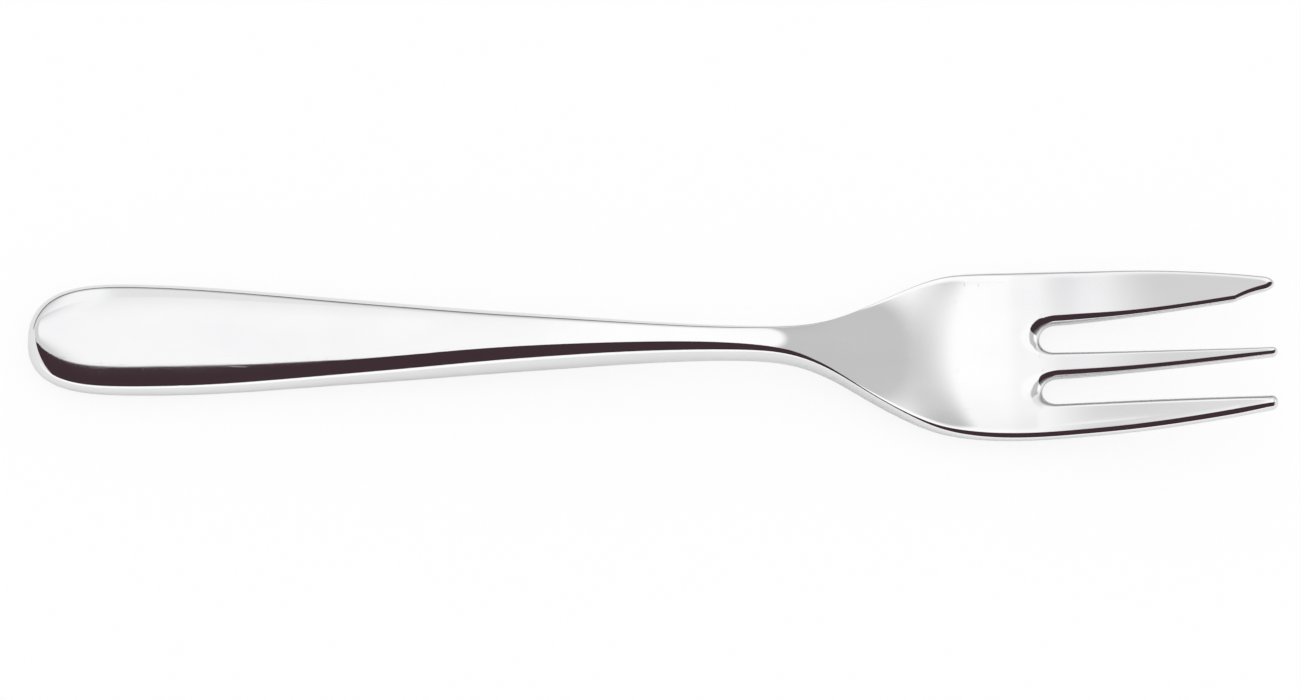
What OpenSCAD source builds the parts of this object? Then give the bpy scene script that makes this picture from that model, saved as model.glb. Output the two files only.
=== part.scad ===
// Pastry fork with three tines: a broad cutting tine with a notch, a slim middle tine and an outer tine.
// The fork lies on its back as on a table: X runs from the butt of the handle to the tips of the tines,
// the cutting tine is on the +Y side, and Z = 0 is the table under the butt and the belly of the head.
// All lengths are in millimetres.

/* [Lengths] */
// Length of the handle, from its butt to the start of the neck
handle_l = 80; // [65:1:95]
// Length of the neck
neck_l = 12; // [9:0.5:16]
// Length of the shoulder, over which the neck flares to the width of the head
shoulder_l = 22; // [18:0.5:28]
// Length of the palm, from the shoulder to the roots of the slots
palm_l = 8; // [6:0.5:12]
// Length of the tines, from the roots of the slots to the tips
tine_l = 28; // [22:0.5:34]

/* [Handle] */
// Width of the handle at its widest
handle_w = 14.9; // [12:0.1:18]
// Length over which the butt rounds in
butt_l = 16; // [12:0.5:20]
// Thickness of the rounded side of the handle near the butt
side_t = 3; // [2.4:0.1:3.6]
// Thickness of the side at the waist, where the narrowing handle is thickest
waist_t = 4.3; // [3.6:0.1:5]
// Radius of the crowned upper side of the handle at its widest, seen from its end
crown_r = 24; // [16:0.5:40]
// Radius of the flatter underside of the handle at its widest, seen from its end
under_r = 60; // [40:1:120]

/* [Neck] */
// Width of the neck at its narrowest
neck_w = 4.15; // [3.6:0.05:5.4]
// Height of the underside of the neck over the table
neck_rise = 2.6; // [1.5:0.1:5]

/* [Head] */
// Width of the head at its widest
head_w = 22.8; // [20:0.1:26]
// Thickness of the head
head_t = 1.8; // [1.5:0.05:2.5]
// Height of the long sides of the head over its middle, as in a very shallow dish
dish_h = 1.25; // [0.2:0.05:1.6]

/* [Slots] */
// Width of each slot at its round root
slot_w = 3.8; // [3.2:0.1:4.4]
// Distance by which the slot beside the cutting tine reaches further back than the other
slot_step = 0.4; // [0.1:0.05:0.8]
// Width of the rounded edge at the root of the slot beside the outer tine
root_round = 2.8; // [1.4:0.05:3.2]
// Width of the cutting tine at its root
cutting_w = 6.7; // [5.6:0.1:7]
// Width of the middle tine at its root
middle_w = 3.45; // [3:0.05:4]

/* [Tips] */
// Distance over the outer sides of the two outer tines at their tips
tips_w = 17.9; // [16.5:0.1:20]
// Height of the underside of the tips over the table
tip_rise = 5.75; // [3:0.05:8]
// Width of the tip of the cutting tine before its notch is cut
cutting_tip_w = 2.3; // [2:0.05:3]
// Width of the tip of the middle tine
middle_tip_w = 1.15; // [0.8:0.05:1.4]
// Width of the tip of the outer tine
outer_tip_w = 1.75; // [1.2:0.05:2.2]
// Distance of the tip of the middle tine from the centre line, on the outer tine's side
middle_tip_off = 0.9; // [0:0.05:1.1]
// Distance by which the cutting tine's outer side draws in further than the outer tine's
cutting_draw_in = 0.2; // [0:0.05:0.4]
// Distance by which the cutting tine is shorter than the other two
cutting_short = 0.4; // [0.1:0.05:1]
// Length over which the tips of the middle and outer tines round in
tip_round = 0.65; // [0.5:0.05:1.2]
// Length over which the tip of the cutting tine rounds in
cutting_tip_round = 1.3; // [0.6:0.05:1.6]
// Thickness of the ground cutting tine
cutting_t = 1.15; // [0.9:0.05:1.5]
// Thickness of the middle tine
middle_t = 1.45; // [1.1:0.05:1.7]
// Thickness of the outer tine
outer_t = 1.9; // [1.5:0.05:2.1]

/* [Notch] */
// Distance from the notch's corner in the cutting tine to the tip
notch_l = 4.7; // [3:0.1:6]
// Depth of the notch in the inner side of the cutting tine
notch_d = 0.75; // [0.6:0.05:1.3]

/* [Hidden] */

steel = [0.80, 0.80, 0.82];

// Places along the fork
neck_x = handle_l;
shoulder_x = neck_x + neck_l;
palm_x = shoulder_x + shoulder_l;
root_x = palm_x + palm_l;
tip_x = root_x + tine_l;

// Control values of smooth curves, evenly spaced along the length that each comment names
// Width of the handle over that of the neck, from the butt to the shoulder
taper_shares = [1, 1, 0.98, 0.85, 0.68, 0.53, 0.36, 0.23, 0.09, 0, 0];
// Width of the head over that of the neck, from the neck to the slot roots
flare_shares = [0, 0, 0, 0.03, 0.17, 0.43, 0.69, 0.918, 0.982, 1, 1];
// Drawing in of the outer sides, from the palm to the tips
draw_in_shares = [0, 0, 0, 0.06, 0.11, 0.19, 0.33, 0.51, 0.72, 1];
// Swelling of the side towards the waist, from the butt to the slot roots
swell_shares = [-0.4, 0, 0.13, 0.4, 0.8, 1.05, 0.65, 0.2, 0, 0, 0];
// Thinning of the handle's side to the head's thickness, from the butt to the slot roots
thinning_shares = [0, 0, 0, 0, 0, 0, 0, 0, 0.35, 1, 1];
// Width of the rounded side over half its thickness, from the butt to the slot roots
edge_shares = [1, 1, 1, 1, 1, 1, 0.97, 0.93, 0.88, 0.83, 0.8, 0.78, 0.52, 0.25, 0.25, 1.15, 1.3];
// Rise of the underside at the neck, from the butt to the slot roots
arch_shares = [0, 0, 0, 0.01, 0.08, 0.14, 0.19, 0.28, 0.42, 0.62, 0.81, 0.96, 1.05, 0.46, 0.27, 0, 0];
// Lift of the tines, from the end of the shoulder to the tips
lift_shares = [0, 0, 0.2, 0.46, 0.73, 1];
// Thinning of each tine from the head's thickness, from the slot roots to the tips
grind_shares = [0, 0, 0.55, 0.9, 1, 1, 1, 1];
// Bend of the inner edges of the tines, from the outer tine's edge to the cutting tine's:
// 1 is straight, and more keeps the edge parallel to the fork for longer
edge_bends = [1.7, 1.5, 1.05, 1.4];
// How late and how fully the butt rounds in (2 and 2 is an ellipse), and how soon the notch levels out
butt_bend = 3.9;
butt_fullness = 2.4;
notch_bend = 2.5;
// How soon the crown of the handle fades as the head flares
crown_fade = 4;
// Share of a narrow tine's half width that its rounded edge may take
round_share = 0.9;
// Where the lift of the tines starts, as a share of the palm's length before the palm
lift_start_share = 0.5;
// Share of the butt's length over which the slope of the outline is measured
slope_step_share = 0.01;
// How much closer the cuts lie towards the end of the butt
butt_crowding = 2.4;

// Numbers of steps: along the butt, the handle, the neck, the head, a slot's root, a tine,
// the notch and a tip, and across a rounded edge and the flat of each strip
butt_steps = 12;
handle_steps = 16;
neck_steps = 4;
head_steps = 14;
root_steps = 6;
tine_steps = 14;
notch_steps = 4;
tip_steps = 6;
round_steps = 3;
flat_steps = [3, 3, 4];

// A smooth curve over evenly spaced control values, at place u between 0 and 1
function curve(v, u) =
    let (
        n = len(v) - 1,
        t = min(max(u, 0), 1) * n,
        i = min(floor(t), n - 1),
        f = t - i,
        before = i == 0 ? 2 * v[0] - v[1] : v[i - 1],
        after = i == n - 1 ? 2 * v[n] - v[n - 1] : v[i + 2]
    )
    (before * pow(1 - f, 3) + v[i] * (3 * pow(f, 3) - 6 * f * f + 4)
        + v[i + 1] * (-3 * pow(f, 3) + 3 * f * f + 3 * f + 1) + after * pow(f, 3)) / 6;

function mix(a, b, f) = a + (b - a) * f;

// How far out a point lies on a half width, which is nothing at the very end
function outness(y, width) = width == 0 ? 1 : min(abs(y) / width, 1);

// Height of a rounded edge at a share of its width, from 0 at the rim to 1 on the flat
function rounding(share) = sqrt(1 - pow(1 - min(max(share, 0), 1), 2));

// Distance to a rounded corner, from the distances to it along X and along Y
function corner_distance(dx, dy) = dx <= 0 || dy <= 0 ? 0 : dx * dy / norm([dx, dy]);

// Plan outline
function flare(x) = curve(flare_shares, (x - neck_x) / (root_x - neck_x));
function draw_in(x) = curve(draw_in_shares, (x - palm_x) / (tip_x - palm_x));
function full_half(x) =
    neck_w / 2
    + (handle_w - neck_w) / 2 * curve(taper_shares, x / shoulder_x)
    + (head_w - neck_w) / 2 * flare(x)
    - (head_w - tips_w) / 2 * draw_in(x);
function butt_share(x) = pow(1 - pow(1 - min(x / butt_l, 1), butt_bend), 1 / butt_fullness);
function half(x) = full_half(x) * butt_share(x);
// Place along X where the butt's outline reaches a distance from the centre line
function butt_reach(x, y) =
    butt_l * (1 - pow(1 - pow(outness(y, full_half(x)), butt_fullness), 1 / butt_bend));
// How squarely a cut across the fork meets its outline
function edge_cosine(x) =
    let (step = butt_l * slope_step_share)
    1 / norm([1, (full_half(x + step) - full_half(x - step)) / (2 * step)]);

// Side view: half the thickness of the side, the crowns and the middle height
function side_half(x) =
    (side_t
        + (waist_t - side_t) * curve(swell_shares, x / root_x)
        - (side_t - head_t) * curve(thinning_shares, x / root_x)) / 2;
// The crown is as high for its width all along the handle, and stays high until the butt rounds over
function crown(x, r) = full_half(x) * handle_w / (4 * r) * pow(1 - flare(x), crown_fade);
lift_x = palm_x - palm_l * lift_start_share;
function underside(x) =
    neck_rise * curve(arch_shares, x / root_x)
    + tip_rise * curve(lift_shares, (x - lift_x) / (tip_x - lift_x));
function middle(x) = underside(x) + side_half(x) + crown(x, under_r);
function dish(x, y) = dish_h * pow(2 * y / head_w, 2) * flare(x);

// The three strips from the outer tine's side to the cutting tine's, each with a left and a right edge.
// The edges between two strips run down the middle of a slot, and split where the slot begins.
tip_xs = [tip_x, tip_x, tip_x - cutting_short];
tip_ts = [outer_t, middle_t, cutting_t];
tip_rounds = [tip_round, tip_round, cutting_tip_round];
slot_roots = [root_x, root_x - slot_step];
// Where the rounded edges of both roots start
round_x = root_x - root_round;
slot_r = slot_w / 2;
cutting_slot_y = head_w / 2 - cutting_w - slot_r;
slot_ys = [cutting_slot_y - slot_w - middle_w, cutting_slot_y];
// Inner edges of the tines at their tips, from the outer tine's edge to the cutting tine's
inner_tips = [
    outer_tip_w - tips_w / 2,
    -middle_tip_off - middle_tip_w / 2,
    -middle_tip_off + middle_tip_w / 2,
    tips_w / 2 - cutting_tip_w,
];
notch_x = tip_x - cutting_short - notch_l;

function notch(x) =
    x <= notch_x ? 0 : notch_d * (1 - pow(1 - min((x - notch_x) / notch_l, 1), notch_bend));

// Edge of slot s towards the strip on its side: -1 for the outer tine's side, 1 for the cutting tine's
function slot_edge(s, side, x) =
    let (
        back = slot_roots[s],
        centre = back + slot_r,
        root_y = slot_ys[s] + side * slot_r,
        e = 2 * s + (side > 0 ? 1 : 0),
        run = (x - centre) / (tip_x - centre)
    )
    x <= back ? slot_ys[s] * min(half(x) / half(root_x), 1)
    : x < centre ? slot_ys[s] + side * sqrt(pow(slot_r, 2) - pow(centre - x, 2))
    : mix(root_y, inner_tips[e], pow(run, edge_bends[e])) + (e == 3 ? notch(x) : 0);

function left_free(i, x) = i == 0 || x >= slot_roots[i - 1];
function right_free(i, x) = i == 2 || x >= slot_roots[i];
function raw_left(i, x) = i == 0 ? -half(x) : slot_edge(i - 1, 1, x);
function raw_right(i, x) =
    i == 2 ? half(x) - cutting_draw_in * draw_in(x) : slot_edge(i, -1, x);
function tip_share(i, x) = rounding((tip_xs[i] - x) / tip_rounds[i]);
function centre_y(i, x) = (raw_left(i, x) + raw_right(i, x)) / 2;
function raw_half(i, x) = (raw_right(i, x) - raw_left(i, x)) / 2;

// Half the thickness of strip i, which the tines lose towards their tips
function strip_half(i, x) =
    mix(side_half(x), tip_ts[i] / 2, curve(grind_shares, (x - root_x) / tine_l));
function edge_round(i, x) = min(strip_half(i, x), round_share * raw_half(i, x));
// The outer side is fully rounded on the handle, crisper on the shoulder and softer on the head and tines
function outer_round(i, x) =
    let (width = strip_half(i, x) * curve(edge_shares, x / root_x))
    x < root_x ? width : min(width, round_share * raw_half(i, x));

// Share of the full height at a point of strip i, from 0 on a rim to 1 on the flat
function outer_rounding(i, x, y) =
    let (
        off = max(half(x) - abs(y), 0),
        along = x < butt_l ? x - butt_reach(x, y) : butt_l
    )
    rounding((x < butt_l ? corner_distance(along, off) : off * edge_cosine(x)) / outer_round(i, x));
function slot_rounding(i, s, x, y) =
    let (
        centre = slot_roots[s] + slot_r,
        from = norm([centre - x, y - slot_ys[s]]),
        facing = from == 0 ? 0 : pow((centre - x) / from, 3),
        side = i == s ? slot_edge(s, -1, x) - y : y - slot_edge(s, 1, x),
        width = edge_round(i, x)
    )
    x < centre ? rounding((from - slot_r) / mix(width, max(slot_roots[s] - round_x, width), facing))
    : rounding(side / width);
function tip_rounding(i, x, y) =
    let (
        off = raw_half(i, x) * tip_share(i, x) - abs(y - centre_y(i, x)),
        out = outness(y - centre_y(i, x), raw_half(i, x)),
        along = tip_xs[i] - tip_rounds[i] * (1 - sqrt(1 - out * out)) - x,
        outer = (i - 1) * (y - centre_y(i, x)) > 0
    )
    rounding(corner_distance(along, off) / (outer ? outer_round(i, x) : edge_round(i, x)));
function height_share(i, x, y) =
    x > root_x + slot_w ? tip_rounding(i, x, y)
    : min(concat(
        [outer_rounding(i, x, y)],
        i < 2 ? [slot_rounding(i, i, x, y)] : [],
        i > 0 ? [slot_rounding(i, i - 1, x, y)] : []
    ));

// Places across strip i: close together on the rounded edges and even over the flat
function across(i, x) =
    let (
        left = mix(centre_y(i, x), raw_left(i, x), tip_share(i, x)),
        right = mix(centre_y(i, x), raw_right(i, x), tip_share(i, x)),
        edge = min(outer_round(i, x) / edge_cosine(x), (right - left) / 3),
        n = flat_steps[i]
    )
    concat(
        [for (k = [0:round_steps]) left + edge * (1 - cos(90 * k / round_steps))],
        [for (k = [1:n - 1]) mix(left + edge, right - edge, k / n)],
        [for (k = [0:round_steps]) right - edge * (1 - sin(90 * k / round_steps))]
    );

// One cut across strip i: its upper points and below them its lower points
function cut_points(i, x) =
    let (
        ys = across(i, x),
        last = len(ys) - 1,
        thick = strip_half(i, x),
        level = middle(x)
    )
    [for (side = [1, -1]) for (k = [0:last])
        let (
            y = ys[k],
            rim = (k == 0 && left_free(i, x)) || (k == last && right_free(i, x)),
            share = rim ? 0 : height_share(i, x, y),
            bulge = crown(x, side > 0 ? crown_r : under_r) * (1 - pow(outness(y, half(x)), 2))
        )
        [x, y, level + dish(x, y) + side * share * (thick + bulge)]];

// Two triangles for each four-cornered patch
function patch(a, b, c, d) = [[a, b, c], [a, c, d]];
// Faces of strip i over rows cuts, where first is the index of its first point
function strip_faces(i, rows, first) =
    let (
        n = flat_steps[i] + 2 * round_steps + 1,
        low = n,
        row = 2 * n
    )
    concat(
        [for (r = [0:rows - 2]) for (k = [0:n - 2])
            let (p = first + r * row + k)
            for (f = patch(p, p + 1, p + row + 1, p + row)) f],
        [for (r = [0:rows - 2]) for (k = [0:n - 2])
            let (p = first + r * row + low + k)
            for (f = patch(p, p + row, p + row + 1, p + 1)) f],
        [for (end = [0, 1]) for (k = [0:n - 2])
            let (
                p = first + end * (rows - 1) * row + k,
                f = [p, p + low, p + low + 1, p + 1]
            )
            for (g = end == 0 ? patch(f[0], f[1], f[2], f[3]) : patch(f[3], f[2], f[1], f[0])) g]
    );

function points_before(parts, j) = j == 0 ? 0 : points_before(parts, j - 1) + len(parts[j - 1]);

// A solid over the given strips, through the cuts at the given places along X.
// Where a rim or a tip closes, points coincide, and the faces that would have no area are left out.
module forging(strips, xs) {
    parts = [for (i = strips) [for (x = xs) for (p = cut_points(i, x)) p]];
    points = [for (part = parts) for (p = part) p];
    faces = [for (j = [0:len(strips) - 1])
        for (f = strip_faces(strips[j], len(xs), points_before(parts, j))) f];
    solid = [for (f = faces)
        if (points[f[0]] != points[f[1]] && points[f[1]] != points[f[2]] && points[f[0]] != points[f[2]]) f];
    translate([-tip_x / 2, 0, -lowest])
        polyhedron(points = points, faces = solid, convexity = 6);
}

// Cuts along the fork. The butt's lie closer together towards its end, and a slot root's towards its back.
butt_cuts = [for (k = [0:butt_steps]) butt_l * pow(k / butt_steps, butt_crowding)];
handle_cuts = [for (k = [1:handle_steps]) mix(butt_l, handle_l, k / handle_steps)];
neck_cuts = [for (k = [0:neck_steps]) mix(neck_x, shoulder_x, k / neck_steps)];
head_cuts = [for (k = [0:head_steps]) mix(shoulder_x, round_x, k / head_steps)];
edge_cuts = [for (k = [1:round_steps + 1])
    round_x + (slot_roots[1] - round_x) * sin(90 * k / (round_steps + 1))];
split_x = root_x + slot_r;
root_cuts = [for (k = [0:root_steps]) root_x + slot_r * (1 - cos(90 * k / root_steps))];
tine_cuts = [for (k = [0:tine_steps]) mix(split_x, notch_x, k / tine_steps)];
lowest = min([for (x = concat(butt_cuts, handle_cuts, head_cuts)) underside(x)]);

function end_cuts(i) =
    let (bend = tip_xs[i] - tip_rounds[i])
    concat(
        [for (k = [1:notch_steps]) mix(notch_x, bend, k / notch_steps)],
        [for (k = [1:tip_steps]) bend + tip_rounds[i] * sin(90 * k / tip_steps)]
    );

module handle() {
    color(steel) forging([0, 1, 2], concat(butt_cuts, handle_cuts));
}

module neck() {
    color(steel) forging([0, 1, 2], neck_cuts);
}

module head() {
    color(steel) forging([0, 1, 2], concat(head_cuts, edge_cuts, root_cuts));
}

module tine(i) {
    color(steel) forging([i], concat(tine_cuts, end_cuts(i)));
}

module outer_tine() {
    tine(0);
}

module middle_tine() {
    tine(1);
}

module cutting_tine() {
    tine(2);
}

handle();
neck();
head();
cutting_tine();
middle_tine();
outer_tine();
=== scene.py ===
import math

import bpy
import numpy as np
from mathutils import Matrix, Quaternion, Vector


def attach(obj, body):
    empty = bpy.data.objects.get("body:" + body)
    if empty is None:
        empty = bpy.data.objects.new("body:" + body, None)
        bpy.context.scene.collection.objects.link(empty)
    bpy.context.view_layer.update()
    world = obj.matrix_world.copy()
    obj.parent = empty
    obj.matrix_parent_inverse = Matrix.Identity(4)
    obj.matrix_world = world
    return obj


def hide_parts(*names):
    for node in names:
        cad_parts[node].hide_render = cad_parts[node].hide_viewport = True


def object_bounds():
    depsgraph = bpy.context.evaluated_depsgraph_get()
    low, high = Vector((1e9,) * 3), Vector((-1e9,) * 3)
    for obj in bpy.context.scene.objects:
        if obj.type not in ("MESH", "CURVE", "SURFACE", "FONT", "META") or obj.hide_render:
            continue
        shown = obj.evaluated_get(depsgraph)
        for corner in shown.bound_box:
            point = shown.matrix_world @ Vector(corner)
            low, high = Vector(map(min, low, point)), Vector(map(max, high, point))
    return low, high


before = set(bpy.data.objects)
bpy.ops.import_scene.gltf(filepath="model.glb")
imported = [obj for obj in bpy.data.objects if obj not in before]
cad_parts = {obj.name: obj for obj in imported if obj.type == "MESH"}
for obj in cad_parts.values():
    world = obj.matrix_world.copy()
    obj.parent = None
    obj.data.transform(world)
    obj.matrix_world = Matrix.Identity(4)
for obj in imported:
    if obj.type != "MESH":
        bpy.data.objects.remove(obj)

# A pastry fork of polished steel on a white table, under a softbox.
# The other panels of the studio are seen by the steel alone.
# X runs from the butt of the handle to the tips of the tines, and the cutting tine is on the +Y side.

cad_low, cad_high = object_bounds()
MM = 0.001

# ---- The fork's driving dimensions, in millimetres, as in its solids ----

HANDLE_L, NECK_L, SHOULDER_L, PALM_L, TINE_L = 80, 12, 22, 8, 28
HANDLE_W, BUTT_L, SIDE_T, WAIST_T = 14.9, 16, 3, 4.3
CROWN_R, UNDER_R = 24, 60
NECK_W, NECK_RISE = 4.15, 2.6
HEAD_W, HEAD_T, DISH_H = 22.8, 1.8, 1.25
SLOT_W, SLOT_STEP, ROOT_ROUND, CUTTING_W, MIDDLE_W = 3.8, 0.4, 2.8, 6.7, 3.45
TIPS_W, TIP_RISE = 17.9, 5.75
CUTTING_TIP_W, MIDDLE_TIP_W, OUTER_TIP_W = 2.3, 1.15, 1.75
MIDDLE_TIP_OFF, CUTTING_DRAW_IN, CUTTING_SHORT = 0.9, 0.2, 0.4
TIP_TS = (1.9, 1.45, 1.15)  # thickness at the tips of the outer, middle and cutting tines
TIP_ROUNDS = (0.65, 0.65, 1.3)  # lengths over which they round in
NOTCH_L, NOTCH_D = 4.7, 0.75

NECK_X = HANDLE_L
SHOULDER_X = NECK_X + NECK_L
PALM_X = SHOULDER_X + SHOULDER_L
ROOT_X = PALM_X + PALM_L
TIP_X = ROOT_X + TINE_L

# Control values of the smooth curves along the fork
TAPER = (1, 1, 0.98, 0.85, 0.68, 0.53, 0.36, 0.23, 0.09, 0, 0)
FLARE = (0, 0, 0, 0.03, 0.17, 0.43, 0.69, 0.918, 0.982, 1, 1)
DRAW_IN = (0, 0, 0, 0.06, 0.11, 0.19, 0.33, 0.51, 0.72, 1)
SWELL = (-0.4, 0, 0.13, 0.4, 0.8, 1.05, 0.65, 0.2, 0, 0, 0)
THINNING = (0, 0, 0, 0, 0, 0, 0, 0, 0.35, 1, 1)
EDGE = (1, 1, 1, 1, 1, 1, 0.97, 0.93, 0.88, 0.83, 0.8, 0.78, 0.52, 0.25, 0.25, 1.15, 1.3)
ARCH = (0, 0, 0, 0.01, 0.08, 0.14, 0.19, 0.28, 0.42, 0.62, 0.81, 0.96, 1.05, 0.46, 0.27, 0, 0)
LIFT = (0, 0, 0.2, 0.46, 0.73, 1)
GRIND = (0, 0, 0.55, 0.9, 1, 1, 1, 1)
EDGE_BENDS = (1.7, 1.5, 1.05, 1.4)
BUTT_BEND, BUTT_FULLNESS, NOTCH_BEND = 3.9, 2.4, 2.5
CROWN_FADE, ROUND_SHARE, LIFT_START_SHARE = 4, 0.9, 0.5

FACING_POWER = 3  # how quickly a slot's rounding widens towards its root
CUTTING_EDGE = 3  # number of the cutting tine's inner edge among the four beside the slots

# Steps of the fine skin across a rounded edge, and across the flats of the outer, middle and cutting strips
ROUND_STEPS = 12
FLAT_STEPS = (12, 10, 14)

# Steps of the fine skin along the fork
BUTT_STEPS, HANDLE_STEPS, NECK_STEPS, HEAD_STEPS = 56, 110, 26, 84
ROOT_STEPS, TINE_STEPS, NOTCH_STEPS, TIP_STEPS = 14, 92, 26, 16
BUTT_EASE, NOTCH_EASE = 2.4, 1.3  # how much closer the cuts lie where the butt and the notch start
LEAST_STEP = 0.012  # cuts nearer than this count as one
POINT_DECIMALS = 5  # points that are the same to these decimals of a millimetre are one
TINY = 1e-12  # stands in for a divisor of 0


def curve(values, u):
    """A smooth curve over evenly spaced control values, at place u between 0 and 1."""
    n = len(values) - 1
    t = min(max(u, 0), 1) * n
    i = min(int(t), n - 1)
    f = t - i
    before = values[i - 1] if i else 2 * values[0] - values[1]
    after = values[i + 2] if i < n - 1 else 2 * values[n] - values[n - 1]
    return (
        before * (1 - f) ** 3
        + values[i] * (3 * f**3 - 6 * f**2 + 4)
        + values[i + 1] * (-3 * f**3 + 3 * f**2 + 3 * f + 1)
        + after * f**3
    ) / 6


def mix(a, b, f):
    return a + (b - a) * f


def outness(y, width):
    """How far out y lies on a half width, from 0 to 1."""
    return np.minimum(np.abs(y) / width, 1) if width > TINY else np.ones_like(y)


def rounding(share):
    """Height of a rounded edge at a share of its width, from 0 at the rim to 1 on the flat."""
    return np.sqrt(1 - (1 - np.clip(share, 0, 1)) ** 2)


def corner_distance(dx, dy):
    """Distance to a rounded corner, from the distances to it along X and along Y."""
    dx, dy = np.maximum(dx, 0), np.maximum(dy, 0)
    return dx * dy / np.maximum(np.hypot(dx, dy), TINY)


# ---- The fork's surface ----


def flare(x):
    """How far the neck has widened into the head, from 0 to 1."""
    return curve(FLARE, (x - NECK_X) / (ROOT_X - NECK_X))


def draw_in(x):
    """How far the head has narrowed towards the tips, from 0 to 1."""
    return curve(DRAW_IN, (x - PALM_X) / (TIP_X - PALM_X))


def full_half(x):
    """Half the width of the outline, before the butt is rounded in."""
    return (
        NECK_W / 2
        + (HANDLE_W - NECK_W) / 2 * curve(TAPER, x / SHOULDER_X)
        + (HEAD_W - NECK_W) / 2 * flare(x)
        - (HEAD_W - TIPS_W) / 2 * draw_in(x)
    )


def half(x):
    """Half the width of the outline, with the butt rounded in."""
    return full_half(x) * (1 - (1 - min(x / BUTT_L, 1)) ** BUTT_BEND) ** (1 / BUTT_FULLNESS)


def butt_reach(x, y):
    """Place along the fork where the butt's outline has the half width y."""
    out = outness(y, full_half(x)) ** BUTT_FULLNESS
    return BUTT_L * (1 - (1 - out) ** (1 / BUTT_BEND))


def edge_cosine(x):
    """Cosine of the angle between the outline and the fork's length."""
    step = BUTT_L / 100
    return 1 / math.hypot(1, (full_half(x + step) - full_half(x - step)) / (2 * step))


def side_half(x):
    """Half the thickness of the fork at its sides."""
    along = x / ROOT_X
    swell = (WAIST_T - SIDE_T) * curve(SWELL, along)
    return (SIDE_T + swell - (SIDE_T - HEAD_T) * curve(THINNING, along)) / 2


def crown(x, radius):
    """Height of the crown, which grows with the width of the handle and fades out on the head."""
    return full_half(x) * HANDLE_W / (4 * radius) * (1 - flare(x)) ** CROWN_FADE


LIFT_X = PALM_X - PALM_L * LIFT_START_SHARE


def underside(x):
    """Height of the side profile, which arches at the neck and lifts towards the tips."""
    return NECK_RISE * curve(ARCH, x / ROOT_X) + TIP_RISE * curve(LIFT, (x - LIFT_X) / (TIP_X - LIFT_X))


def middle(x, y):
    """Height halfway through the steel."""
    dish = DISH_H * (2 * y / HEAD_W) ** 2 * flare(x)
    return underside(x) + side_half(x) + crown(x, UNDER_R) + dish


# Three strips, from the outer tine's side to the cutting tine's, split by two slots
TIP_XS = (TIP_X, TIP_X, TIP_X - CUTTING_SHORT)
SLOT_ROOTS = (ROOT_X, ROOT_X - SLOT_STEP)
ROUND_X = ROOT_X - ROOT_ROUND
SLOT_R = SLOT_W / 2
CUTTING_SLOT_Y = HEAD_W / 2 - CUTTING_W - SLOT_R
SLOT_YS = (CUTTING_SLOT_Y - SLOT_W - MIDDLE_W, CUTTING_SLOT_Y)
INNER_TIPS = (
    OUTER_TIP_W - TIPS_W / 2,
    -MIDDLE_TIP_OFF - MIDDLE_TIP_W / 2,
    -MIDDLE_TIP_OFF + MIDDLE_TIP_W / 2,
    TIPS_W / 2 - CUTTING_TIP_W,
)
NOTCH_X = TIP_X - CUTTING_SHORT - NOTCH_L


def notch(x):
    """How much the notch takes off the cutting tine's inner side."""
    return 0 if x <= NOTCH_X else NOTCH_D * (1 - (1 - min((x - NOTCH_X) / NOTCH_L, 1)) ** NOTCH_BEND)


def slot_edge(s, side, x):
    """Edge of slot s towards the outer tine (-1) or the cutting tine (1)."""
    back = SLOT_ROOTS[s]
    centre = back + SLOT_R
    if x <= back:
        return SLOT_YS[s] * min(half(x) / half(ROOT_X), 1)
    if x < centre:
        return SLOT_YS[s] + side * math.sqrt(SLOT_R**2 - (centre - x) ** 2)
    e = 2 * s + (side > 0)
    run = (x - centre) / (TIP_X - centre)
    edge = mix(SLOT_YS[s] + side * SLOT_R, INNER_TIPS[e], run ** EDGE_BENDS[e])
    return edge + notch(x) if e == CUTTING_EDGE else edge


def edges(i, x):
    """Where strip i starts and ends across the fork, before its tip rounds in."""
    left = -half(x) if i == 0 else slot_edge(i - 1, 1, x)
    right = half(x) - CUTTING_DRAW_IN * draw_in(x) if i == 2 else slot_edge(i, -1, x)
    return left, right


def strip_half(i, x):
    """Half the thickness of strip i at its sides, thinner towards its tip."""
    return mix(side_half(x), TIP_TS[i] / 2, curve(GRIND, (x - ROOT_X) / TINE_L))


def edge_round(i, x):
    """Width of the rounding on strip i's sides that face a slot."""
    left, right = edges(i, x)
    return min(strip_half(i, x), ROUND_SHARE * (right - left) / 2)


def outer_round(i, x):
    """Width of the rounding on the outline: full on the handle, crisp on the shoulder, soft on the tines."""
    left, right = edges(i, x)
    width = strip_half(i, x) * curve(EDGE, x / ROOT_X)
    return width if x < ROOT_X else min(width, ROUND_SHARE * (right - left) / 2)


def outer_rounding(i, x, y):
    """Share of the full height that the rounding on the outline leaves."""
    off = np.maximum(half(x) - np.abs(y), 0)
    away = corner_distance(x - butt_reach(x, y), off) if x < BUTT_L else off * edge_cosine(x)
    return rounding(away / outer_round(i, x))


def slot_rounding(i, s, x, y):
    """Share of the full height that the rounding beside slot s leaves."""
    centre = SLOT_ROOTS[s] + SLOT_R
    width = edge_round(i, x)
    if x >= centre:
        return rounding((slot_edge(s, -1, x) - y if i == s else y - slot_edge(s, 1, x)) / width)
    away = np.hypot(centre - x, y - SLOT_YS[s])
    facing = ((centre - x) / np.maximum(away, TINY)) ** FACING_POWER
    return rounding((away - SLOT_R) / mix(width, max(SLOT_ROOTS[s] - ROUND_X, width), facing))


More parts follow.
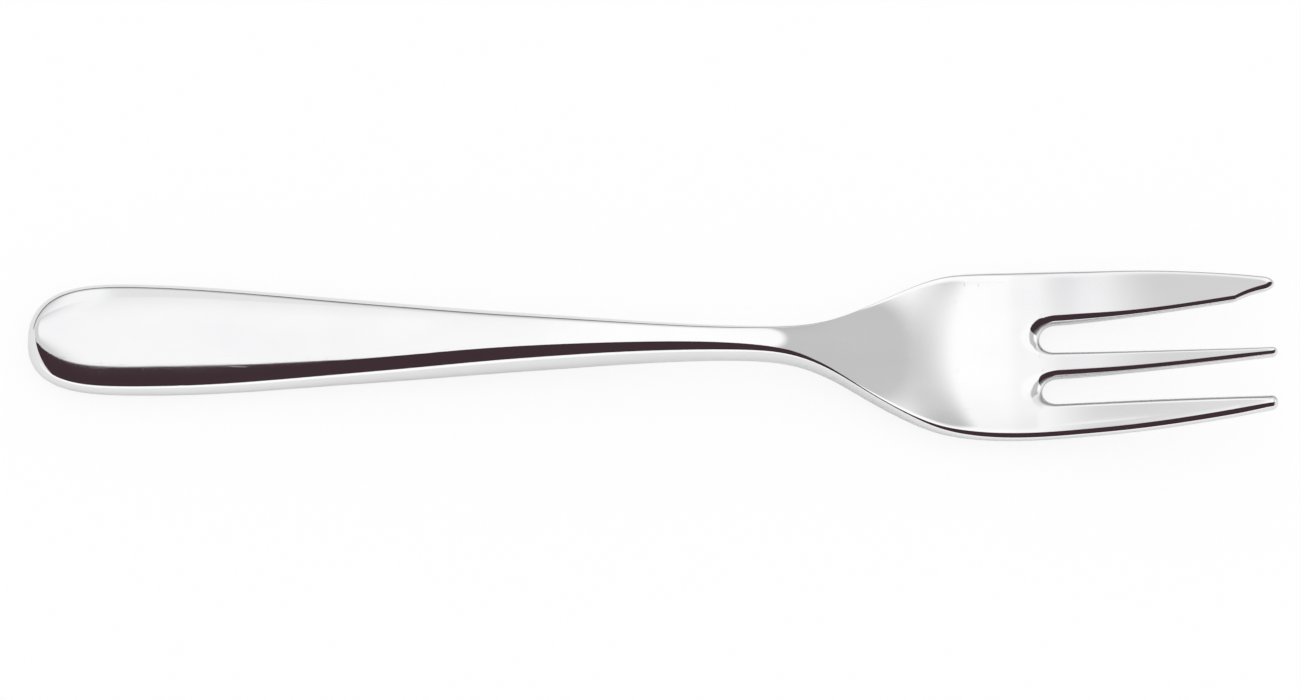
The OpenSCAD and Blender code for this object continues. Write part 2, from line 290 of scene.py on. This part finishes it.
def tip_rounding(i, x, y):
    """Share of the full height that the rounding all round strip i's tip leaves."""
    left, right = edges(i, x)
    middle_y, wide = (left + right) / 2, (right - left) / 2
    off = wide * rounding((TIP_XS[i] - x) / TIP_ROUNDS[i]) - np.abs(y - middle_y)
    along = TIP_XS[i] - TIP_ROUNDS[i] * (1 - np.sqrt(1 - outness(y - middle_y, wide) ** 2)) - x
    outer = (i - 1) * (y - middle_y) > 0
    return rounding(corner_distance(along, off) / np.where(outer, outer_round(i, x), edge_round(i, x)))


def height_share(i, x, y):
    """Share of the full height at points of strip i, from 0 on a rim to 1 on the flat."""
    if x > ROOT_X + SLOT_W:
        return tip_rounding(i, x, y)
    shares = [outer_rounding(i, x, y)]
    shares += [slot_rounding(i, s, x, y) for s in (i - 1, i) if 0 <= s < 2]
    return np.min(shares, axis=0)


def across(i, x):
    """Places across strip i, close together on its rounded edges and even over its flat."""
    raw_left, raw_right = edges(i, x)
    centre = (raw_left + raw_right) / 2
    tip = float(rounding((TIP_XS[i] - x) / TIP_ROUNDS[i]))
    left, right = mix(centre, raw_left, tip), mix(centre, raw_right, tip)
    edge = min(outer_round(i, x) / edge_cosine(x), (right - left) / 3)
    turn = np.linspace(0, math.pi / 2, ROUND_STEPS + 1)
    flat = np.linspace(left + edge, right - edge, FLAT_STEPS[i] + 1)[1:-1]
    return np.concatenate([left + edge * (1 - np.cos(turn)), flat, right - edge * (1 - np.sin(turn))])


def cut_points(i, x):
    """One cut across strip i: its upper points, then its lower points, and how near each lies to a rim."""
    y = across(i, x)
    share = height_share(i, x, y)
    if i == 0 or x >= SLOT_ROOTS[i - 1]:
        share[0] = 0
    if i == 2 or x >= SLOT_ROOTS[i]:
        share[-1] = 0
    sides = []
    for side, radius in ((1, CROWN_R), (-1, UNDER_R)):
        bulge = crown(x, radius) * (1 - outness(y, half(x)) ** 2)
        height = middle(x, y) + side * share * (strip_half(i, x) + bulge)
        sides.append(np.stack([np.full_like(y, x), y, height], 1))
    return np.concatenate(sides), np.concatenate([1 - share, 1 - share])


# ---- Cuts along the fork ----


def even(start, end, steps):
    """Evenly spaced places from start to end."""
    return [start + (end - start) * k / steps for k in range(steps + 1)]


def eased(start, end, steps, power):
    """Places from start to end, closer together at the start."""
    return [start + (end - start) * (k / steps) ** power for k in range(steps + 1)]


def rounded(start, end, steps):
    """Places from start to end, closer together at the end, as round a quarter of a circle."""
    return [start + (end - start) * math.sin(math.pi / 2 * k / steps) for k in range(steps + 1)]


def thinned(places):
    """Sorted places, without those that nearly coincide, keeping the first and last."""
    places = sorted(places)
    kept = [places[0]]
    for x in places[1:]:
        if x - kept[-1] > LEAST_STEP:
            kept.append(x)
    kept[-1] = places[-1]
    return kept


SPLIT_X = ROOT_X + SLOT_R  # where the head ends and the tines start


def head_xs():
    places = even(SHOULDER_X, ROUND_X, HEAD_STEPS)
    for root in SLOT_ROOTS:
        places += rounded(ROUND_X, root, ROOT_STEPS) + rounded(root + SLOT_R, root, ROOT_STEPS)
    return thinned([x for x in places if x < SPLIT_X] + [SPLIT_X])


def tine_xs(i):
    bend = TIP_XS[i] - TIP_ROUNDS[i]
    places = even(SPLIT_X, NOTCH_X, TINE_STEPS) + eased(NOTCH_X, bend, NOTCH_STEPS, NOTCH_EASE)
    return thinned(places + rounded(bend, TIP_XS[i], TIP_STEPS))


HANDLE_XS = thinned(eased(0, BUTT_L, BUTT_STEPS, BUTT_EASE) + even(BUTT_L, HANDLE_L, HANDLE_STEPS))
BODY_CUTS = {"handle": HANDLE_XS, "neck": even(NECK_X, SHOULDER_X, NECK_STEPS), "head": head_xs()}
TINES = ("outer_tine", "middle_tine", "cutting_tine")


# ---- Skin ----


class Skin:
    """The whole surface as shared points, so that the shading runs on where its pieces meet."""

    def __init__(self):
        self.index = {}
        self.points = []
        self.rims = []
        self.faces = []

    def point(self, place, rim):
        key = tuple(np.round(place, POINT_DECIMALS))
        if key not in self.index:
            self.index[key] = len(self.points)
            self.points.append(place)
            self.rims.append(rim)
        return self.index[key]

    def add(self, strips, xs):
        """Adds the faces over the strips through the cuts at xs. Returns them, and those of the end caps."""
        first, caps = len(self.faces), []
        for i in strips:
            rows = []
            for x in xs:
                places, rims = cut_points(i, x)
                rows.append([self.point(p, r) for p, r in zip(places, rims)])
            n = len(rows[0]) // 2
            for a, b in zip(rows, rows[1:]):
                for top in range(n - 1):
                    low = n + top
                    self.face(a[top], b[top], b[top + 1], a[top + 1])
                    self.face(a[low], a[low + 1], b[low + 1], b[low])
            for row, order in ((rows[0], 1), (rows[-1], -1)):
                caps += [[row[k], row[k + 1], row[n + k + 1], row[n + k]][::order] for k in range(n - 1)]
        return self.faces[first:], [c for c in map(self.shape, caps) if c]

    @staticmethod
    def shape(corners):
        """The corners without repeats, or None where the face has no area."""
        kept = [c for k, c in enumerate(corners) if c != corners[k - 1]]
        return kept if len(set(kept)) > 2 and len(set(kept)) == len(kept) else None

    def face(self, *corners):
        kept = self.shape(list(corners))
        if kept:
            self.faces.append(kept)


skin = Skin()
parts = {name: skin.add(range(len(TINES)), xs) for name, xs in BODY_CUTS.items()}
parts.update({name: skin.add([i], tine_xs(i)) for i, name in enumerate(TINES)})

lowest = min(p[2] for p in skin.points)
places = (np.array(skin.points) - (TIP_X / 2, 0, lowest)) * MM
places = np.clip(places, cad_low, cad_high)

whole = bpy.data.meshes.new("whole_fork")
whole.from_pydata(places.tolist(), [], skin.faces)
normals = np.zeros(len(places) * 3, np.float32)
whole.vertex_normals.foreach_get("vector", normals)
normals = normals.reshape(-1, 3)
bpy.data.meshes.remove(whole)


def make_piece(name, faces, caps):
    """A closed piece of the skin, with the whole skin's shading, and flat end caps inside the joints."""
    used = sorted({v for f in faces for v in f})
    number = {v: k for k, v in enumerate(used)}
    mesh = bpy.data.meshes.new(name)
    mesh.from_pydata(places[used].tolist(), [], [[number[v] for v in f] for f in faces + caps])
    mesh.polygons.foreach_set("use_smooth", [True] * len(mesh.polygons))
    rim = mesh.attributes.new("rim", "FLOAT", "POINT")
    rim.data.foreach_set("value", [float(skin.rims[v]) for v in used])
    split = [normals[v] for f in faces for v in f]
    for cap in caps:
        a, b, c = (Vector(places[v]) for v in cap[:3])
        facing = (b - a).cross(c - a)
        split += [Vector((math.copysign(1, facing.x), 0, 0))] * len(cap)
    mesh.normals_split_custom_set([tuple(float(t) for t in n) for n in split])
    piece = bpy.data.objects.new(name, mesh)
    bpy.context.scene.collection.objects.link(piece)
    return piece


# ---- Materials ----


def node(tree, kind, inputs=None, **settings):
    """A shader node with its settings, and inputs that are values or other nodes' outputs."""
    made = tree.nodes.new(kind)
    for key, value in settings.items():
        setattr(made, key, value)
    for key, value in (inputs or {}).items():
        if isinstance(value, bpy.types.NodeSocket):
            tree.links.new(value, made.inputs[key])
        else:
            made.inputs[key].default_value = value
    return made


def new_material(name):
    material = bpy.data.materials.new(name)
    material.use_nodes = True
    material.node_tree.nodes.clear()
    return material, material.node_tree


def maths(tree, operation, *values):
    return node(tree, "ShaderNodeMath", dict(enumerate(values)), operation=operation).outputs[0]


def product(tree, first, *others):
    for other in others:
        first = maths(tree, "MULTIPLY", first, other)
    return first


def spread(tree, value, places, levels, interpolation="LINEAR"):
    """The first level up to the first place, the second from the second place on, and even in between."""
    sockets = ("Value", "From Min", "From Max", "To Min", "To Max")
    inputs = dict(zip(sockets, (value, *places, *levels)))
    return node(tree, "ShaderNodeMapRange", inputs, interpolation_type=interpolation).outputs["Result"]


def ramp(tree, value, places, levels):
    """As spread, but with a smooth step between the places."""
    return spread(tree, value, places, levels, "SMOOTHSTEP")


# Scales of the steel's marks, as noise cells per metre along each axis, and turns of the hairlines in radians
HAZE, RIPPLE, BUFFING = (90, 160, 160), (110, 150, 150), (260, 9000, 9000)
LONG_HAIRLINES, LONG_TURN = (300, 7000, 7000), (0, 0, 0.5)
CROSS_HAIRLINES, CROSS_TURN = (7000, 260, 7000), (0, 0, 0.9)
USUAL_NOISE = (0.3, 0.7)  # between which most of a noise's values lie

# Roughness of the clearest and haziest steel, and what buffing, hairlines and wear on the rims add at most
STEEL_ROUGHNESS, BUFFING_ROUGHNESS, HAIRLINE_ROUGHNESS, RIM_ROUGHNESS = (0.03, 0.06), (0, 0.02), 0.12, 0.05
WORN_RIM = (0.35, 1)  # from where on a rounded edge wear shows
RIPPLE_HEIGHT, BUFFING_HEIGHT, BUFFING_DEPTH = 4e-6, 4e-7, 0.6
STEEL_TONES = (0.765, 0.765, 0.775, 1), (0.795, 0.795, 0.80, 1)


def polished_steel():
    """Polished stainless steel with a soft haze, buffing along its length, hairlines and worn rims."""
    material, tree = new_material("polished_steel")
    place = node(tree, "ShaderNodeTexCoord").outputs["Object"]

    def noise(scale, detail, turn=(0, 0, 0), rough=0.5):
        moved = node(tree, "ShaderNodeMapping", {"Vector": place, "Rotation": turn, "Scale": scale})
        inputs = {"Vector": moved.outputs["Vector"], "Scale": 1.0, "Detail": detail, "Roughness": rough}
        return node(tree, "ShaderNodeTexNoise", inputs).outputs["Fac"]

    haze = noise(HAZE, 3)
    buffing = noise(BUFFING, 2)
    long_hairlines = spread(tree, noise(LONG_HAIRLINES, 1, LONG_TURN), (0.70, 0.78), (0, 1))
    cross_hairlines = spread(tree, noise(CROSS_HAIRLINES, 1, CROSS_TURN), (0.71, 0.79), (0, 1))
    hairlines = maths(tree, "MAXIMUM", long_hairlines, cross_hairlines)
    rim = node(tree, "ShaderNodeAttribute", attribute_name="rim").outputs["Fac"]
    rim = spread(tree, rim, WORN_RIM, (0, 1))

    rough = spread(tree, haze, USUAL_NOISE, STEEL_ROUGHNESS)
    rough = maths(tree, "ADD", rough, spread(tree, buffing, USUAL_NOISE, BUFFING_ROUGHNESS))
    rough = maths(tree, "ADD", rough, product(tree, hairlines, HAIRLINE_ROUGHNESS))
    rough = maths(tree, "ADD", rough, product(tree, rim, RIM_ROUGHNESS))

    inputs = {"Strength": 1.0, "Distance": RIPPLE_HEIGHT, "Height": noise(RIPPLE, 1, rough=0.3)}
    ripple = node(tree, "ShaderNodeBump", inputs).outputs["Normal"]
    inputs = {"Strength": BUFFING_DEPTH, "Distance": BUFFING_HEIGHT, "Height": buffing, "Normal": ripple}
    grain = node(tree, "ShaderNodeBump", inputs).outputs["Normal"]
    inputs = {"Factor": spread(tree, haze, USUAL_NOISE, (0, 1)), "A": STEEL_TONES[0], "B": STEEL_TONES[1]}
    tone = node(tree, "ShaderNodeMix", inputs, data_type="RGBA").outputs["Result"]
    inputs = {"Metallic": 1.0, "Base Color": tone, "Roughness": rough, "Normal": grain}
    steel = node(tree, "ShaderNodeBsdfPrincipled", inputs).outputs[0]
    node(tree, "ShaderNodeOutputMaterial", {"Surface": steel})
    return material


steel = polished_steel()
for cad_node, (faces, caps) in parts.items():
    piece = make_piece(f"fork_{cad_node}", faces, caps)
    piece.data.materials.append(steel)
    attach(piece, "root")
    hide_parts(cad_node)


# ---- Studio ----

VIEW_TILT = math.radians(28.5)  # of the camera from straight above, towards the outer tine's side
VIEW_TURN = 0.0238  # of the camera about the vertical, in radians
LEAN = 10  # of the softbox in its own plane, in degrees
STUDIO = 3.0  # distance of the softbox, in metres


def toward(tilt, turn=0.0):
    """Unit vector tilted from straight up towards the camera's side."""
    return Vector((math.sin(turn) * math.sin(tilt), -math.cos(turn) * math.sin(tilt), math.cos(tilt)))


def plate(name, wide, high, material):
    """A flat plate of the studio, which isn't part of the fork."""
    mesh = bpy.data.meshes.new(name)
    corners = [(x * wide / 2, y * high / 2, 0) for x, y in ((-1, -1), (1, -1), (1, 1), (-1, 1))]
    mesh.from_pydata(corners, [], [(0, 1, 2, 3)])
    mesh.materials.append(material)
    made = bpy.data.objects.new(name, mesh)
    bpy.context.scene.collection.objects.link(made)
    return made


def panel(name, tilts, turns, distance, glow, lean=0, colour=(1, 1, 1), lights=False):
    """A panel that faces the fork between two tilts and two turns, in degrees, and glows as glow says.

    Its distance and the places that glow is given are shares of the softbox's distance.
    The camera doesn't see it, it casts no shadow, and only one that lights shines on the table.
    """
    material, tree = new_material(name)
    distance *= STUDIO
    place = node(tree, "ShaderNodeNewGeometry").outputs["Position"]
    place = node(tree, "ShaderNodeVectorMath", {0: place, "Scale": 1 / STUDIO}, operation="SCALE").outputs[0]
    place = node(tree, "ShaderNodeSeparateXYZ", {0: place})
    strength = glow(tree, place.outputs["X"], place.outputs["Y"])
    glowing = node(tree, "ShaderNodeEmission", {"Color": (*colour, 1), "Strength": strength})
    node(tree, "ShaderNodeOutputMaterial", {"Surface": glowing.outputs[0]})
    left, right = (distance * math.tan(math.radians(turn)) for turn in turns)
    high = 2 * distance * math.tan(math.radians((tilts[1] - tilts[0]) / 2))
    made = plate(name, right - left, high, material)
    back = toward(math.radians(sum(tilts) / 2))
    made.location = back * distance + Vector(((left + right) / 2, 0, 0))
    made.rotation_mode = "QUATERNION"
    made.rotation_quaternion = Quaternion(back, math.radians(lean)) @ back.to_track_quat("Z", "Y")
    made.visible_camera = False
    made.visible_diffuse = lights
    made.visible_transmission = False
    made.visible_shadow = False


# What the fork mirrors: the butt and the tips the -X side of the studio, and the shoulder the +X side
HEAD_LIGHT, BUTT_LIGHT, WALL_LIGHT, COVE_LIGHT = 1.26, 1.19, 0.98, 1.25
SIDE_LIGHTS = (0.12, 0.85)  # of the side wall, next to the dark and at its other end
DARK = (0.06, 0.036, 0.044)

# Shares of that light which are left on places of the fork, and at the wall's -X end and its foot
TIP_SHARE, SHOULDER_SHARE, FAR_SHARE, OFF_BUTT_SHARE = 0.68, 0.54, 0.82, 0.8
WALL_END_SHARE, WALL_FOOT_SHARE = 0.75, 0.12

TIP_SLANT, SLANT_Y = 0.035, 0.5  # slant of the step towards the tips, and the Y where it is in its place
SHOULDER_BEND, BEND_Y = 0.85, 0.42  # bend of the step to the shoulder, and the Y where it is furthest out


def softbox_glow(tree, x, y):
    """Brightest over the head, darker towards the tips, butt, shoulder and the handle's far edge."""
    head = ramp(tree, x, (-0.12, -0.03), (BUTT_LIGHT, HEAD_LIGHT))
    slant = product(tree, maths(tree, "SUBTRACT", y, SLANT_Y), TIP_SLANT)
    tips = ramp(tree, maths(tree, "SUBTRACT", x, slant), (-0.30, -0.175), (TIP_SHARE, 1))

    off_middle = maths(tree, "ABSOLUTE", maths(tree, "SUBTRACT", y, BEND_Y))
    bend = product(tree, maths(tree, "POWER", off_middle, 2), SHOULDER_BEND)
    shoulder = ramp(tree, maths(tree, "ADD", x, bend), (0.2, 0.275), (1, SHOULDER_SHARE))
    beyond = ramp(tree, x, (0.53, 0.6), (SHOULDER_SHARE, 1))
    side = maths(tree, "MAXIMUM", shoulder, beyond)

    # The butt's far edge is as bright as the rest of the butt, and off the butt that ramp is too low to count
    far = ramp(tree, y, (0.6, 1.05), (1, FAR_SHARE))
    butt = ramp(tree, x, (-0.17, -0.135), (1, OFF_BUTT_SHARE))
    return product(tree, head, tips, side, maths(tree, "MAXIMUM", far, butt))


def wall_glow(tree, x, y):
    """As bright as the softbox beside it, and darker towards the table and its -X end."""
    beside = ramp(tree, x, (-0.205, -0.162), (BUTT_LIGHT, WALL_LIGHT))
    end = ramp(tree, x, (-0.42, -0.26), (WALL_END_SHARE, 1))
    return product(tree, beside, end, ramp(tree, y, (1.08, 1.36), (1, WALL_FOOT_SHARE)))


def side_glow(tree, x, y):
    return ramp(tree, x, (0.45, 1.7), SIDE_LIGHTS)


def even_glow(light):
    return lambda tree, x, y: light


# Tilts are from straight above, with the camera's side positive
panel("softbox", (-52, -7), (-52, 52), 1.0, softbox_glow, lean=LEAN, lights=True)
panel("dark_studio", (-25, 77), (-60, 26), 0.95, even_glow(1.0), colour=DARK)
panel("side_wall", (-25, 77), (26, 66), 0.95, side_glow)
panel("front_cove", (77, 91), (-72, 72), 1.5, even_glow(COVE_LIGHT))
panel("far_wall", (-90, -45), (-60, 60), 1.25, wall_glow)

TABLE_SIZE = 12.0  # in metres
TABLE_GAP = 0.02 * MM  # between the table and the fork
TABLE_COLOUR = (0.95, 0.95, 0.95, 1)
WHITE = (1, 1, 1, 1)
TABLE_SHARE = 0.85  # of the table that the camera sees as plain white, so that shadows on it stay soft
AMBIENT_LIGHT, BACKDROP_LIGHT = 1.06, 1.0


def seen_by_rays(tree, camera, gloss):
    """A value for the camera's rays and one for rays through gloss and glass, and 0 for the light itself."""
    rays = node(tree, "ShaderNodeLightPath").outputs
    by_camera = product(tree, rays["Is Camera Ray"], camera)
    by_gloss = maths(tree, "MAXIMUM", rays["Is Glossy Ray"], rays["Is Transmission Ray"])
    return maths(tree, "MAXIMUM", by_camera, product(tree, by_gloss, gloss))


def mixed(tree, share, first, second):
    return node(tree, "ShaderNodeMixShader", {0: share, 1: first.outputs[0], 2: second.outputs[0]}).outputs[0]


white_table, tree = new_material("white_table")
white = node(tree, "ShaderNodeBsdfDiffuse", {"Color": TABLE_COLOUR})
glow = node(tree, "ShaderNodeEmission", {"Color": WHITE, "Strength": 1.0})
surface = mixed(tree, seen_by_rays(tree, TABLE_SHARE, 0.0), white, glow)
node(tree, "ShaderNodeOutputMaterial", {"Surface": surface})
plate("table_top", TABLE_SIZE, TABLE_SIZE, white_table).location.z = -TABLE_GAP

world = bpy.data.worlds.new("studio")
world.use_nodes = True
tree = world.node_tree
tree.nodes.clear()
ambient = node(tree, "ShaderNodeBackground", {"Color": WHITE, "Strength": AMBIENT_LIGHT})
backdrop = node(tree, "ShaderNodeBackground", {"Color": WHITE, "Strength": BACKDROP_LIGHT})
surface = mixed(tree, seen_by_rays(tree, 1.0, 1.0), ambient, backdrop)
node(tree, "ShaderNodeOutputWorld", {"Surface": surface})
bpy.context.scene.world = world

# ---- Camera ----

CAMERA_DISTANCE = 1.2
LOOKED_AT = Vector((-0.16, 0.07, 2.0)) * MM  # what the middle of the picture shows
FRAME_W = 156.25 * MM  # width of the picture at the fork
SENSOR = 36.0  # width of the film, in millimetres
NEAREST, FURTHEST = 0.05, 20.0  # what the camera shows, in metres

lens = bpy.data.cameras.new("camera")
lens.sensor_width = SENSOR
lens.lens = SENSOR * CAMERA_DISTANCE / FRAME_W
lens.clip_start, lens.clip_end = NEAREST, FURTHEST
camera = bpy.data.objects.new("camera", lens)
bpy.context.scene.collection.objects.link(camera)
back = toward(VIEW_TILT, VIEW_TURN)
camera.location = LOOKED_AT + back * CAMERA_DISTANCE
camera.rotation_mode = "QUATERNION"
camera.rotation_quaternion = back.to_track_quat("Z", "Y")
bpy.context.scene.camera = camera

bpy.context.scene.view_settings.view_transform = "Standard"
